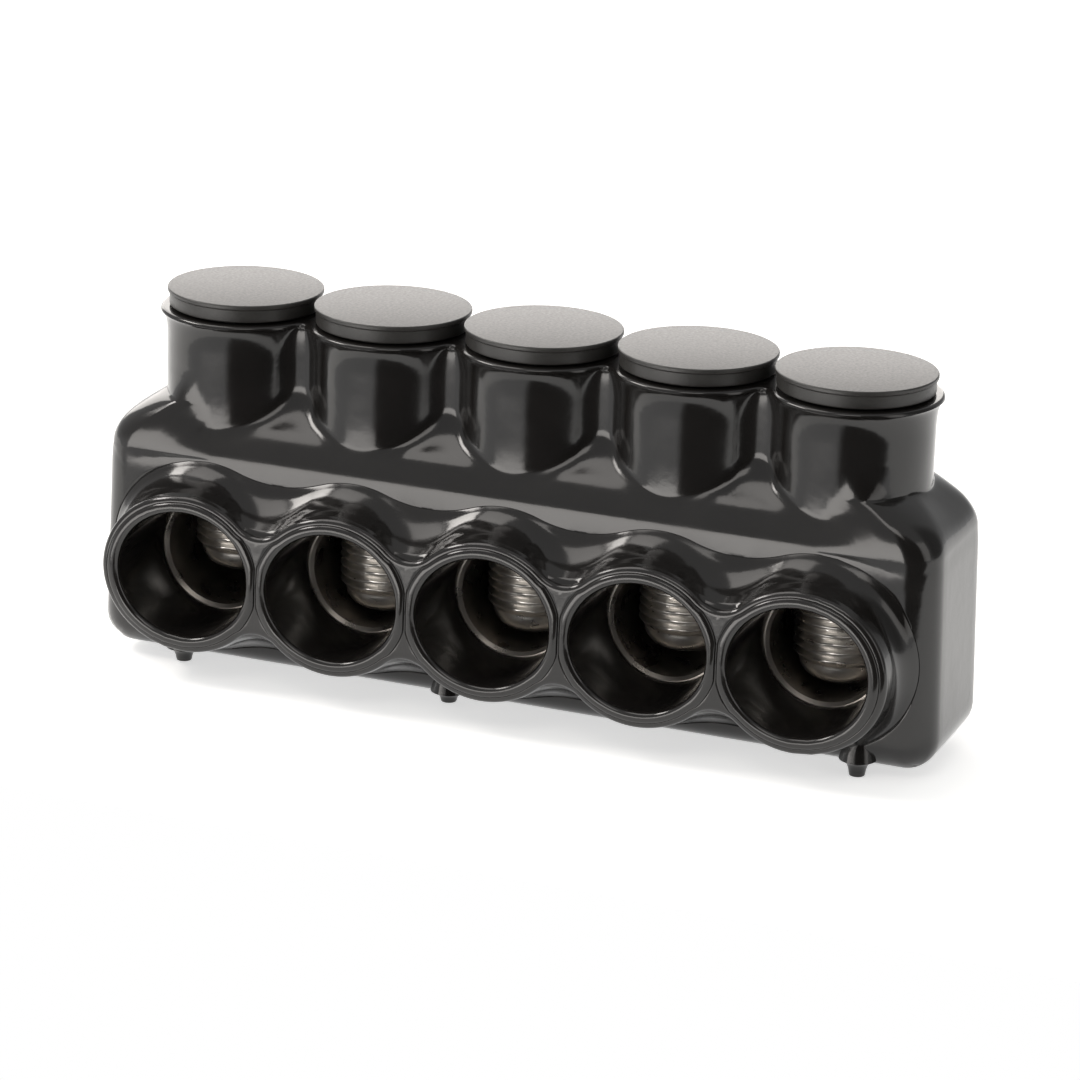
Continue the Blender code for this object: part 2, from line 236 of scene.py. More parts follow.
def add(tree, kind, inputs=None, **settings):
    """Add a node, set its properties, and give each named input a value or another's output."""
    node = tree.nodes.new(kind)
    for name, value in settings.items():
        setattr(node, name, value)
    for name, value in (inputs or {}).items():
        if isinstance(value, bpy.types.NodeSocket):
            tree.links.new(value, node.inputs[name])
        else:
            node.inputs[name].default_value = value
    return node


def new_material(name):
    """A material with its Principled shader and the piece's own coordinates, in metres."""
    material = bpy.data.materials.new(name)
    material.use_nodes = True
    tree = material.node_tree
    return material, tree, tree.nodes["Principled BSDF"], add(tree, "ShaderNodeTexCoord").outputs["Object"]


def grain(tree, where, size, detail=2.0, stretch=(1.0, 1.0, 1.0)):
    """Noise whose lumps are about this size across, in metres."""
    mapping = add(tree, "ShaderNodeMapping", {"Vector": where, "Scale": stretch})
    inputs = {"Vector": mapping.outputs[0], "Scale": 1 / size, "Detail": detail}
    return add(tree, "ShaderNodeTexNoise", inputs).outputs["Fac"]


def spread(tree, value, low, high):
    """Map the middle of a noise onto the range from low to high."""
    ends = {"From Min": 0.3, "From Max": 0.7, "To Min": low, "To Max": high}
    return add(tree, "ShaderNodeMapRange", {"Value": value, **ends}).outputs[0]


# %% [markdown]
# ## Black vinyl
#
# The jacket is plastisol, a soft PVC that a hot mould dips into. The skin sets glossy, but it
# is never dead flat: it carries a faint orange peel a few millimetres across, and handling
# leaves hazy patches. Both are small noises, one in the bump and one in the roughness.

# %% Dip-moulded plastisol
HAZE_SIZE = 9 * MM
PEEL_SIZE = 2.6 * MM
PEEL_DEPTH = 0.05 * MM


def dip_moulded_vinyl():
    material, tree, shader, where = new_material("dip-moulded black plastisol")
    haze = grain(tree, where, HAZE_SIZE, 4.0)
    peel = grain(tree, where, PEEL_SIZE, 3.0)
    tint = add(tree, "ShaderNodeMix", {"Factor": haze}, data_type="RGBA")
    tint.inputs["A"].default_value = linear("#161514")
    tint.inputs["B"].default_value = linear("#1e1c1b")
    tree.links.new(tint.outputs["Result"], shader.inputs["Base Color"])
    tree.links.new(spread(tree, haze, 0.10, 0.19), shader.inputs["Roughness"])
    bump = add(tree, "ShaderNodeBump", {"Height": peel, "Strength": 0.45, "Distance": PEEL_DEPTH})
    tree.links.new(bump.outputs[0], shader.inputs["Normal"])
    shader.inputs["IOR"].default_value = 1.53
    return material


vinyl = dip_moulded_vinyl()
print("made", vinyl.name)

# %% [markdown]
# ## The jacket's shared columns
#
# Collars and chimneys are both a row of circles with a fillet in each valley. One set of X
# places serves both, with more of them near the valleys, where the outline turns fastest. Past
# the end ports the outline is half a circle, which a fan of angles follows.

# %% Columns and outlines
COLUMNS_PER_HALF = 24
FAN_STEPS = 20
DENSE_SHARE = 0.6
CORNER_START = 0.25
CORNER_END = 0.80
DROP_STEPS = 500


def row_places():
    """X places from end port to end port. Each half pitch runs as h ((1 - d) t + d sin(pi t / 2))."""
    share = np.linspace(0, 1, COLUMNS_PER_HALF + 1)
    half = HALF_PITCH * ((1 - DENSE_SHARE) * share + DENSE_SHARE * np.sin(math.pi / 2 * share))
    places = [ports[:1]]
    for port in ports[:-1]:
        places += [port + half[1:], port + PITCH - half[-2::-1]]
    return np.concatenate(places)


ROW_X = row_places()
FAN = np.linspace(0, math.pi / 2, FAN_STEPS, endpoint=False)


def row_height(x, radius, fillet):
    """Half width of the row at x: a circle, sqrt(r^2 - dx^2), or the fillet between two of them."""
    dx = np.abs((x - ports[0] + HALF_PITCH) % PITCH - HALF_PITCH)
    top = np.sqrt((radius + fillet) ** 2 - HALF_PITCH**2)
    circle = np.sqrt(np.maximum(radius**2 - dx**2, 0))
    valley = top - np.sqrt(np.maximum(fillet**2 - (HALF_PITCH - dx) ** 2, 0))
    return np.where(dx <= radius * HALF_PITCH / (radius + fillet), circle, valley)


def half_ring(fan_x, fan_y, row_y):
    """One side of an outline, from its +X end to its -X end, as (x, y) points."""
    x = np.concatenate([fan_x, ROW_X[::-1], -fan_x[::-1]])
    return np.stack([x, np.concatenate([fan_y, row_y[::-1], fan_y[::-1]])], axis=1)


def close_ring(back, front):
    """A closed ring: the back side as it is, and then the front side mirrored in Y."""
    return np.concatenate([back, (front * (1, -1))[-2:0:-1]])


def chimney_ring(radius, fillet):
    """The chimneys' outline seen from above."""
    fan_x, fan_y = END_PORT + radius * np.cos(FAN), radius * np.sin(FAN)
    side = half_ring(fan_x, fan_y, row_height(ROW_X, radius, fillet))
    return close_ring(side, side)


def body_side(depth, inset, draft):
    """One side of the box's outline. The fan runs along the end, round the corner, and on."""
    corner = CORNER - inset
    centre_x, centre_y = HALF_LENGTH + draft - CORNER, depth - CORNER
    turn = FAN / (math.pi / 2)
    angle = math.pi / 2 * (turn - CORNER_START) / (CORNER_END - CORNER_START)
    left = (1 - turn) / (1 - CORNER_END)
    zones = [turn < CORNER_START, turn < CORNER_END]
    along = END_PORT + (centre_x - END_PORT) * left
    end_y, corner_y = centre_y * turn / CORNER_START, centre_y + corner * np.sin(angle)
    fan_x = np.select(zones, [centre_x + corner, centre_x + corner * np.cos(angle)], along)
    fan_y = np.select(zones, [end_y, corner_y], depth - inset)
    return half_ring(fan_x, fan_y, np.full(len(ROW_X), depth - inset))


def shoulder_drop(z):
    """How far the shoulder has moved in at a height: the running sum of tan(lean) dz from its foot."""
    steps = np.linspace(SHOULDER_FOOT, SHOULDER_TOP, DROP_STEPS)
    heights, leans = np.array(SHOULDER_LEAN).T
    slope = np.tan(np.radians(np.interp((steps - FRONT_TOP) / MM, heights, leans)))
    return np.interp(z, steps, (np.cumsum(slope) - slope[0]) * (steps[1] - steps[0]))


def draft_at(z):
    """How far the ends stand out at a height: all of the draft at the foot, none at the shoulder."""
    return END_DRAFT * np.clip((SHOULDER_FOOT - z) / (SHOULDER_FOOT - CORNER), 0, 1)


def body_ring(inset, z):
    """The box's rounded outline at a height, moved in."""
    draft = draft_at(z)
    return close_ring(body_side(BACK_DEPTH, inset, draft), body_side(FRONT_DEPTH, inset, draft))


column_count = len(chimney_ring(CHIMNEY_RADIUS, CHIMNEY_FILLET))
print(f"{len(ROW_X)} places along the row, {column_count} columns in all")

# %% [markdown]
# ## Box and chimneys
#
# The box closes over the block like a low dome, and the row of tubes stands through it. Along
# the row the dome follows a table of leans, and round the ends it is a fuller quarter ellipse.
# At each height the skin is whichever of box and tubes lies farther out, with a fillet where
# they meet. A quarter ellipse flares each rim. The rings are stacked into one grid, with a
# rectangle of the front left open for the collars.

# %% The upright grid
ROUND_ROWS = 8
HOLE_ROW = 3
WALL_ROWS = 28
HOLE_FAN_STEP = 9
SHOULDER_ROWS = 46
TUBE_ROWS = 8
FLARE_ROWS = 10
RIM_LIP_ROWS = 4
END_BLEND = math.radians(80)


def chimney_foot(z):
    """The tubes' outline at a height: below the foot's top they widen with the square of the depth."""
    depth = max(0.0, 1 - (z - SHOULDER_FOOT) / CHIMNEY_FOOT_HEIGHT)
    return chimney_ring(CHIMNEY_RADIUS + CHIMNEY_FOOT_FLARE * depth**2, CHIMNEY_FILLET)


def end_weights():
    """For each column, 0 along the row and 1 round the ends, as a smooth step past the end port."""
    share = np.clip((math.pi / 2 - FAN) / END_BLEND, 0, 1)
    fan = share * share * (3 - 2 * share)
    side = np.concatenate([fan, np.zeros(len(ROW_X)), fan[::-1]])
    return np.concatenate([side, side[-2:0:-1]])


def end_drop(z):
    """The ends' fuller shoulder, a quarter ellipse: drop = a (1 - sqrt(1 - (rise / b)^2))."""
    rise = np.clip((z - FRONT_TOP) / END_RISE, 0, 1)
    return shoulder_drop(FRONT_TOP) + END_REACH * (1 - np.sqrt(1 - rise**2))


def shoulder_ring(box, waist, drop, share):
    """The farther out of the box moved in by drop and the tubes' waist.

    Where the two come within k of each other the outline gains (k - gap)^2 / 4k, which rounds
    the corner between them like a fillet. It is crisp in front of a tube and soft in a valley,
    because k is a share of the way from the box to the waist.
    """
    reach = np.linalg.norm(box - waist, axis=1)
    left, fillet = reach - drop, share * reach
    out = np.maximum(left, 0) + np.maximum(fillet - np.abs(left), 0) ** 2 / (4 * fillet)
    return waist + (box - waist) * (out / reach)[:, None]


def upright_rings():
    """Rings from the underside to the rims, as (height, outline) pairs."""
    rings = []
    for turned_share, left in zip(*quarter(ROUND_ROWS)):
        rings.append((CORNER * turned_share, body_ring(CORNER * left, 0)))
    walls = np.linspace(CORNER, FRONT_TOP, WALL_ROWS + 1)[1:-1]
    rings += [(z, body_ring(shoulder_drop(z), z)) for z in walls]
    box, ends = body_ring(0, SHOULDER_FOOT), end_weights()
    fillet_share = ROW_FILLET_SHARE + (END_FILLET_SHARE - ROW_FILLET_SHARE) * ends
    for z in np.linspace(FRONT_TOP, SHOULDER_TOP, SHOULDER_ROWS):
        drop = shoulder_drop(z) * (1 - ends) + end_drop(z) * ends
        rings.append((z, shoulder_ring(box, chimney_foot(z), drop, fillet_share)))
    flare_top = RIM_HEIGHT - RIM_LIP
    flare_foot = flare_top - RIM_FLARE_HEIGHT
    rings += [(z, chimney_foot(z)) for z in np.linspace(rings[-1][0], flare_foot, TUBE_ROWS)[1:-1]]
    for turned_share, left in zip(*quarter(FLARE_ROWS)):
        fillet = CHIMNEY_FILLET + (RIM_FILLET - CHIMNEY_FILLET) * turned_share
        outline = chimney_ring(CHIMNEY_RADIUS + RIM_FLARE * turned_share, fillet)
        rings.append((flare_top - RIM_FLARE_HEIGHT * left, outline))
    for turned_share, left in list(zip(*quarter(RIM_LIP_ROWS)))[1:]:
        inward = RIM_LIP * turned_share
        outline = chimney_ring(CHIMNEY_RADIUS + RIM_FLARE - inward, RIM_FILLET + inward)
        rings.append((RIM_HEIGHT - RIM_LIP * left, outline))
    return rings


def stack(rings):
    """Rows of points from (height, outline) pairs."""
    return np.array([np.column_stack([outline, np.full(len(outline), z)]) for z, outline in rings])


upright = stack(upright_rings())
columns = upright.shape[1]
front_start = len(ROW_X) + 2 * FAN_STEPS
hole_left = front_start + HOLE_FAN_STEP - 1
hole_right = columns - HOLE_FAN_STEP
hole_bottom, hole_top = HOLE_ROW, ROUND_ROWS + WALL_ROWS


def upright_faces():
    """The grid's quads without the rectangle that the collars fill."""
    faces = grid_faces(len(upright), columns, True)
    row, column = faces[:, 0] // columns, faces[:, 0] % columns
    inside = (row >= hole_bottom) & (row < hole_top) & (column >= hole_left) & (column < hole_right)
    return faces[~inside]


def hole_loop():
    """The rectangle's border, counter-clockwise as seen from the front."""
    across, up = slice(hole_left, hole_right + 1), slice(hole_bottom + 1, hole_top)
    right, left = upright[up, hole_right], upright[up, hole_left][::-1]
    return np.concatenate([upright[hole_bottom, across], right, upright[hole_top, across][::-1], left])


border = hole_loop()
print(f"upright grid {upright.shape[0]} x {columns}, border of {len(border)} points")

# %% [markdown]
# ## The wire collars
#
# The collars grow out of the box's front. Each border point has its own line to the mouths:
# straight down or up inside the row, and along a ray from the end port's axis past it. Rings
# of growing radius follow those lines, so the last one is the border itself and no seam shows.

# %% The collar grid
CREASE_DEPTH = 0.12 * MM
FLARE_END = math.radians(74)
WEB_RECESS = 0.45 * MM
WEB_LEAN = 0.06
FOOT_SQUEEZE = 0.09
COLLAR_LIP_ROWS = 5
COLLAR_ROWS = 8
COLLAR_ROOT_ROWS = 15
BORDER_SHARES = (0.04, 0.10, 0.2, 0.35, 0.55, 0.78)


def front_of_box(x, z):
    """Y of the box's front at (x, z), with the roundings along its foot and its upright edges."""
    inset = CORNER * (1 - np.sqrt(np.clip(1 - np.clip(1 - z / CORNER, 0, 1) ** 2, 0, 1))) + shoulder_drop(z)
    corner = CORNER - inset
    past = np.clip(np.abs(x) - (HALF_LENGTH + draft_at(z) - CORNER), 0, None)
    return -(FRONT_DEPTH - CORNER) - np.sqrt(np.clip(corner**2 - past**2, 0, None))


def collar_outline(radius, fillet, sag):
    """The row's outline in X and Z, at one point for each border point.

    At the mouths, where sag is 1, the soft rims are ovals, lower and wider than the circles at
    their roots, where it is 0.
    """
    x, z = border[:, 0], border[:, 2]
    squash = 1 + (COLLAR_SQUASH - 1) * sag
    widen = 1 + (COLLAR_WIDEN - 1) * sag
    side = np.sign(z - PORT_HEIGHT)
    ray = np.arctan2(z - PORT_HEIGHT, np.abs(x) - END_PORT)
    in_row = np.abs(x) <= END_PORT + TOUCH
    out_x = np.where(in_row, x, np.sign(x) * (END_PORT + radius * widen * np.cos(ray)))
    row_z = side * row_height(np.clip(x, -END_PORT, END_PORT), radius, fillet)
    return out_x, PORT_HEIGHT + squash * np.where(in_row, row_z, radius * np.sin(ray))


def collar_fillet(y):
    """Web fillet at a depth: it grows by the same factor for each step from mouth to root."""
    share = np.clip((y - MOUTH_PLANE) / (-FRONT_DEPTH - MOUTH_PLANE), 0, 1)
    return COLLAR_FILLET * (COLLAR_ROOT_FILLET / COLLAR_FILLET) ** share


def mouth_share(y):
    """1 at the mouths and 0 at the roots, as a smooth step."""
    share = np.clip((y + FRONT_DEPTH) / (MOUTH_PLANE + FRONT_DEPTH), 0, 1)
    return share * share * (3 - 2 * share)


def web_lean(z):
    """The mouths' plane leans back above the ports, in proportion to height."""
    return WEB_LEAN * np.clip(z - PORT_HEIGHT, 0, None)


def collar_rings():
    """Rings from the mouths' web to the border, as whole (x, y, z) rows.

    The rim is a quarter circle, the collar a straight tube with a growing fillet, and its root
    an arc that flares into the box's front and ends in a shallow crease.
    """
    rows = []
    for turned_share, left in zip(*(share[::-1] for share in quarter(COLLAR_LIP_ROWS))):
        inward = COLLAR_LIP * turned_share
        x, z = collar_outline(COLLAR_RADIUS - inward, COLLAR_FILLET + inward, 1)
        rows.append((x, MOUTH_PLANE + WEB_RECESS + web_lean(z) + COLLAR_LIP * left, z))
    lip_end, straight_end = rows[-1][1], -FRONT_DEPTH - COLLAR_FLARE_REACH
    for share in np.linspace(0, 1, COLLAR_ROWS)[1:-1]:
        y = lip_end + (straight_end - lip_end) * share
        x, z = collar_outline(COLLAR_RADIUS + COLLAR_TAPER * share, collar_fillet(y), mouth_share(y))
        rows.append((x, y, z))
    for angle in np.linspace(0, FLARE_END, COLLAR_ROOT_ROWS):
        out = (1 - math.cos(angle)) / (1 - math.cos(FLARE_END))
        along = math.sin(angle) / math.sin(FLARE_END)
        y = straight_end + COLLAR_FLARE_REACH * along
        radius = COLLAR_RADIUS + COLLAR_TAPER + COLLAR_FLARE * out
        x, z = collar_outline(radius, collar_fillet(y), mouth_share(y))
        z = np.where(z < PORT_HEIGHT, PORT_HEIGHT + (z - PORT_HEIGHT) * (1 - FOOT_SQUEEZE * out), z)
        rows.append((x, y + (front_of_box(x, z) + FRONT_DEPTH) * along**2, z))
    x, y, z = rows[-1]
    rows[-1] = (x, y + CREASE_DEPTH, z)
    for share in BORDER_SHARES:
        between_x, between_z = x + (border[:, 0] - x) * share, z + (border[:, 2] - z) * share
        rows.append((between_x, front_of_box(between_x, between_z), between_z))
    return np.array([np.stack(row, 1) for row in rows] + [border])


collars = collar_rings()
print(f"collar grid {collars.shape[0]} x {collars.shape[1]}")

# %% [markdown]
# ## Lips round every hole
#
# A plate with a hole closes the front of each collar and the top of each chimney. Its points
# lie on rays from the port's axis. Near the hole the distance is fixed, so that the rolled lip
# keeps its width, and the rest of each ray is shared out up to the outline.

# %% Plates with rolled lips
WEB_STEPS = 24
LIP_STEPS = 8
FLAT_STEPS = 4


def cell_loop(ring, port):
    """The part of a ring that belongs to one port, closed along the webs and sorted by angle."""
    reach = HALF_PITCH + TOUCH
    low = -np.inf if port == ports[0] else port - reach
    high = np.inf if port == ports[-1] else port + reach
    points = [ring[(ring[:, 0] > low) & (ring[:, 0] < high)]]
    for side, limit in ((-1, low), (1, high)):
        if np.isfinite(limit):
            edge = points[0][np.abs(points[0][:, 0] - port - side * HALF_PITCH) < TOUCH][:, 1]
            across = np.linspace(edge.min(), edge.max(), WEB_STEPS + 1)[1:-1]
            points.append(np.column_stack([np.full(len(across), port + side * HALF_PITCH), across]))
    return np.concatenate(points)


def lipped_plate(ring, centre, half_width, half_height, lip_width, lip_inner, lip_outer, groove, lean):
    """Rows of (a, b, depth) from the hole's wall to the outline.

    The lip is half an ellipse: its distance from the wall is w (1 - cos t) / 2, and its depth is
    h (1 - sin t), with one h inside the crest and another outside it. A shallow groove follows
    it, and the whole plate leans back above the centre.
    """
    angle = np.arctan2(ring[:, 1] - centre[1], ring[:, 0] - centre[0])
    ring = ring[np.argsort(angle)]
    offset = ring - centre
    turn = np.arctan2(offset[:, 1] / half_height, offset[:, 0] / half_width)
    hole = np.column_stack([half_width * np.cos(turn), half_height * np.sin(turn)])
    reach = np.linalg.norm(offset - hole, axis=1)
    fitted = np.minimum(1, reach / (lip_width + 3 * groove))
    around = np.linspace(0, math.pi, 2 * LIP_STEPS + 1)
    distances = lip_width / 2 * (1 - np.cos(around))
    depths = np.where(around < math.pi / 2, lip_inner, lip_outer) * (1 - np.sin(around))
    rows = [(distance * fitted / reach, depth) for distance, depth in zip(distances, depths)]
    rows.append(((lip_width + 2 * groove) * fitted / reach, lip_outer - groove))
    start = rows[-1][0]
    for share in np.linspace(0, 1, FLAT_STEPS + 1)[1:]:
        rows.append((start + (1 - start) * share, lip_outer - groove))
    plate = []
    for share, depth in rows:
        flat = centre + hole + (offset - hole) * share[:, None]
        leaning = lean * np.clip(flat[:, 1] - centre[1], 0, None)
        plate.append(np.column_stack([flat, depth + leaning]))
    return np.array(plate)


# %% [markdown]
# The mouths are ovals that narrow to the round bore, with a thick rolled lip. The chimneys'
# bores narrow hardly at all, with a thin one. Both run on into the hollow that holds the block.

# %% Mouths and chimney tops
MOUTH_LIP_WIDTH = 2.0 * MM
MOUTH_LIP_DEPTH = 1.0 * MM
RIM_LIP_WIDTH = 0.9 * MM
RIM_LIP_DEPTH = 0.4 * MM
GROOVE = 0.06 * MM
CAVITY_REACH = 1.0 * MM
PASSAGE_ROWS = 11
BORE_ROWS = 9


def mouth_grids(port):
    """The lipped front of one collar and its passage, which narrows from an oval to a circle."""
    outline = collars[0][:, [0, 2]]
    centre = np.array([port, PORT_HEIGHT])
    ring = cell_loop(outline, port)
    outer_depth = WEB_RECESS + GROOVE
    hole = (centre, MOUTH_HALF_WIDTH, MOUTH_HALF_HEIGHT)
    plate = lipped_plate(ring, *hole, MOUTH_LIP_WIDTH, MOUTH_LIP_DEPTH, outer_depth, GROOVE, WEB_LEAN)
    front = np.stack([plate[..., 0], MOUTH_PLANE + plate[..., 2], plate[..., 1]], axis=-1)
    wall = front[0]
    end_y = block_low[1] + CAVITY_REACH
    up, across = (wall[:, 2] - PORT_HEIGHT) / MOUTH_HALF_HEIGHT, (wall[:, 0] - port) / MOUTH_HALF_WIDTH
    turn = np.arctan2(up, across)
    passage = []
    for share in np.linspace(0, 1, PASSAGE_ROWS):
        half_width = MOUTH_HALF_WIDTH + (PASSAGE_RADIUS - MOUTH_HALF_WIDTH) * share
        half_height = MOUTH_HALF_HEIGHT + (PASSAGE_RADIUS - MOUTH_HALF_HEIGHT) * share
        y = wall[:, 1] + (end_y - wall[:, 1]) * share
        x, z = port + half_width * np.cos(turn), PORT_HEIGHT + half_height * np.sin(turn)
        passage.append(np.column_stack([x, y, z]))
    return front, np.array(passage)


def rim_grids(port):
    """The lipped top of one chimney and its bore, which narrows to the hollow's depth."""
    outline = upright[-1][:, :2]
    centre = np.array([port, 0.0])
    ring = cell_loop(outline, port)
    hole = (centre, CHIMNEY_BORE, CHIMNEY_BORE)
    plate = lipped_plate(ring, *hole, RIM_LIP_WIDTH, RIM_LIP_DEPTH, GROOVE, GROOVE, 0)
    top = np.stack([plate[..., 0], plate[..., 1], RIM_HEIGHT - plate[..., 2]], axis=-1)
    bore_end = block_high[2] - CAVITY_REACH
    bore = np.repeat(top[:1], BORE_ROWS, axis=0)
    bore[..., 2] = np.linspace(top[0, 0, 2], bore_end, BORE_ROWS)[:, None]
    narrow = np.linspace(1, block_high[1] / CHIMNEY_BORE, BORE_ROWS)[:, None]
    bore[..., 0] = port + (bore[..., 0] - port) * narrow
    bore[..., 1] *= narrow
    return top, bore


def whole_grid(points):
    return points, grid_faces(points.shape[0], points.shape[1], True)


def make_jacket():
    grids = [(upright, upright_faces()), whole_grid(collars)]
    caps = [upright[0]]
    for port in ports:
        for front, inside in (mouth_grids(port), rim_grids(port)):
            grids += [whole_grid(front), whole_grid(inside)]
            caps.append(inside[-1])
    return weld("jacket_skin", grids, caps)


jacket = make_jacket()

# %% [markdown]
# The hollow for the block is one plain box. The passages and bores end inside it, so cutting
# the box out opens all ten of them at once, which is less work than ten borders by hand.

# %% The hollow for the block


def box_tool(name, low, high):
    """A plain box between two corners."""
    shape = bmesh.new()
    bmesh.ops.create_cube(shape, size=1)
    for vertex in shape.verts:
        vertex.co = Vector([low[axis] if vertex.co[axis] < 0 else high[axis] for axis in range(3)])
    mesh = bpy.data.meshes.new(name)
    shape.to_mesh(mesh)
    shape.free()
    tool = bpy.data.objects.new(name, mesh)
    bpy.context.scene.collection.objects.link(tool)
    return tool


cut(jacket, box_tool("hollow", block_low - FIT_GAP, block_high + FIT_GAP), "DIFFERENCE")
print("jacket after the hollow:", len(jacket.data.polygons), "faces")

# %% [markdown]
# Three nubs stand under the front edge, where the jacket hung as it cooled. Each flares from a
# blunt tip into the body, as a quarter ellipse turned about its own axis.

# %% Moulding nubs
NUBS = ((-56.4 * MM, 1.1 * MM), (-9.3 * MM, 0.6 * MM), (59.5 * MM, 1.5 * MM))
NUB_DEPTH = -13.2 * MM
NUB_TIP_RADIUS = 1.3 * MM
NUB_ROOT_RADIUS = 3.0 * MM
NUB_ROOT_HEIGHT = 1.3 * MM
NUB_CORE_HEIGHT = 5.5 * MM


def nub_profile(drop):
    """A blunt tip with a broken edge at -drop, and then a quarter ellipse that flares into the body."""
    turned_share, left = quarter(10)
    radius = NUB_TIP_RADIUS + (NUB_ROOT_RADIUS - NUB_TIP_RADIUS) * turned_share
    height = NUB_ROOT_HEIGHT - (NUB_ROOT_HEIGHT + drop) * left
    blunt = [(0, -drop), (NUB_TIP_RADIUS * 0.7, -drop), (NUB_TIP_RADIUS * 0.95, 0.1 * MM - drop)]
    side = list(zip(radius[1:], height[1:]))
    return blunt + side + [(NUB_ROOT_RADIUS * 0.6, NUB_CORE_HEIGHT), (0, NUB_CORE_HEIGHT)]


cut(jacket, weld("nubs", [turned(nub_profile(drop), 32, (x, NUB_DEPTH)) for x, drop in NUBS]), "UNION")
dress(jacket, "insulating_jacket", "connector", vinyl, sharp=50)

# %% [markdown]
# ## Machined aluminium
#
# The block is sawn from an extruded bar and drilled, so its faces are satin and its bores carry
# fine rings from the drill. The rings run round each bore's axis, which points along Y: a wave
# of Y alone draws them on the bore's wall and leaves the outer faces nearly plain.

# %% Drilled bar stock
SATIN_PATCH = 4 * MM
DRILL_RING = 0.5 * MM
DRILL_DEPTH = 0.03 * MM
ALONG_Y = (0.02, 1.0, 0.02)


def drilled_aluminium():
    material, tree, shader, where = new_material("drilled aluminium bar")
    shader.inputs["Metallic"].default_value = 1.0
    patch = grain(tree, where, SATIN_PATCH, 3.0)
    tint = add(tree, "ShaderNodeMix", {"Factor": patch}, data_type="RGBA")
    tint.inputs["A"].default_value = linear("#b3ada6")
    tint.inputs["B"].default_value = linear("#cfc9c1")
    tree.links.new(tint.outputs["Result"], shader.inputs["Base Color"])
    tree.links.new(spread(tree, patch, 0.24, 0.38), shader.inputs["Roughness"])
    rings = grain(tree, where, DRILL_RING, 2.0, ALONG_Y)
    bump = add(tree, "ShaderNodeBump", {"Height": rings, "Strength": 0.1, "Distance": DRILL_DEPTH})
    tree.links.new(bump.outputs[0], shader.inputs["Normal"])
    return material


bar_stock = drilled_aluminium()
BORE_CHAMFER = 0.55 * MM
SCREW_HOLE = 8.05 * MM
HOLE_CHAMFER = 0.6 * MM
BLOCK_EDGE = 0.8 * MM
ROUND = 96


def lying(points):
    """Turn an upright shape about X, so that its height runs along Y."""
    return np.stack([points[..., 0], points[..., 2], points[..., 1] + PORT_HEIGHT], axis=-1)


def make_block():
    """The bar with its bores along Y and its screw holes along Z, each with a bright chamfer."""
    block = box_tool("block_bar", block_low, block_high)
    edges = block.modifiers.new("broken edges", "BEVEL")
    edges.width, edges.segments = BLOCK_EDGE, 3
    apply_modifiers(block)
    face, over = block_high[1], 1 * MM
    wide = BORE_RADIUS + BORE_CHAMFER
    bore = [(0, -face - over), (wide + over, -face - over), (BORE_RADIUS, -face + BORE_CHAMFER)]
    bore += [(BORE_RADIUS, face - BORE_CHAMFER), (wide + over, face + over), (0, face + over)]
    hole = [(0, PORT_HEIGHT), (SCREW_HOLE, PORT_HEIGHT), (SCREW_HOLE, block_high[2] - HOLE_CHAMFER)]
    hole += [(SCREW_HOLE + HOLE_CHAMFER + over, block_high[2] + over), (0, block_high[2] + over)]
    bores, holes = [], []
    for port in ports:
        points, faces = turned(bore, ROUND, (port, 0.0))
        bores.append((lying(points), faces))
        holes.append(turned(hole, ROUND, (port, 0.0)))
    cut(block, weld("bores", bores), "DIFFERENCE")
    cut(block, weld("screw_holes", holes), "DIFFERENCE")
    return block


block = make_block()
block.name = "drilled_block"
dress(block, "bus_block", "connector", bar_stock, sharp=25)
print("block:", len(block.data.polygons), "faces")

# %% [markdown]
# ## Set screws
#
# A thread is a cylinder whose radius depends on height and turn together: the phase z / pitch
# minus t / 2 pi has one whole step per turn. A clipped triangle of that phase gives the flat
# crests and roots of a thread, and it fades out where the domed tip begins.

# %% Threaded set screws
THREAD_PITCH = 25.4 / 18 * MM
THREAD_DEPTH = 0.8 * MM
ROWS_PER_PITCH = 10
DOME_HEIGHT = 3.4 * MM
TIP_RADIUS = 6.8 * MM
TIP_FLAT = 3.5 * MM
SOCKET_FLATS = 8.0 * MM
SOCKET_DEPTH = 9.0 * MM
TOP_CHAMFER = 0.8 * MM
SOCKET_CHAMFER = 0.25 * MM
SOCKET_CONE = 1.5 * MM
THREAD_STEEPNESS = 2.6
CREST_FLAT = 0.2
PLATING_PATCH = 2.5 * MM
ROLLER_MARK = 0.3 * MM
ROLLER_DEPTH = 0.02 * MM
ALONG_Z = (0.02, 0.02, 1.0)


def screw_metal():
    """Cold-headed steel under bright zinc: hazy patches and fine rings left by the thread roller."""
    material, tree, shader, where = new_material("zinc-plated screw steel")
    shader.inputs["Metallic"].default_value = 1.0
    patch = grain(tree, where, PLATING_PATCH, 3.0)
    tint = add(tree, "ShaderNodeMix", {"Factor": patch}, data_type="RGBA")
    tint.inputs["A"].default_value = linear("#b6b3af")
    tint.inputs["B"].default_value = linear("#d0cdc8")
    tree.links.new(tint.outputs["Result"], shader.inputs["Base Color"])
    tree.links.new(spread(tree, patch, 0.26, 0.38), shader.inputs["Roughness"])
    roller_marks = grain(tree, where, ROLLER_MARK, 1.0, ALONG_Z)
    bump = add(tree, "ShaderNodeBump", {"Height": roller_marks, "Strength": 0.1, "Distance": ROLLER_DEPTH})
    tree.links.new(bump.outputs[0], shader.inputs["Normal"])
    return material


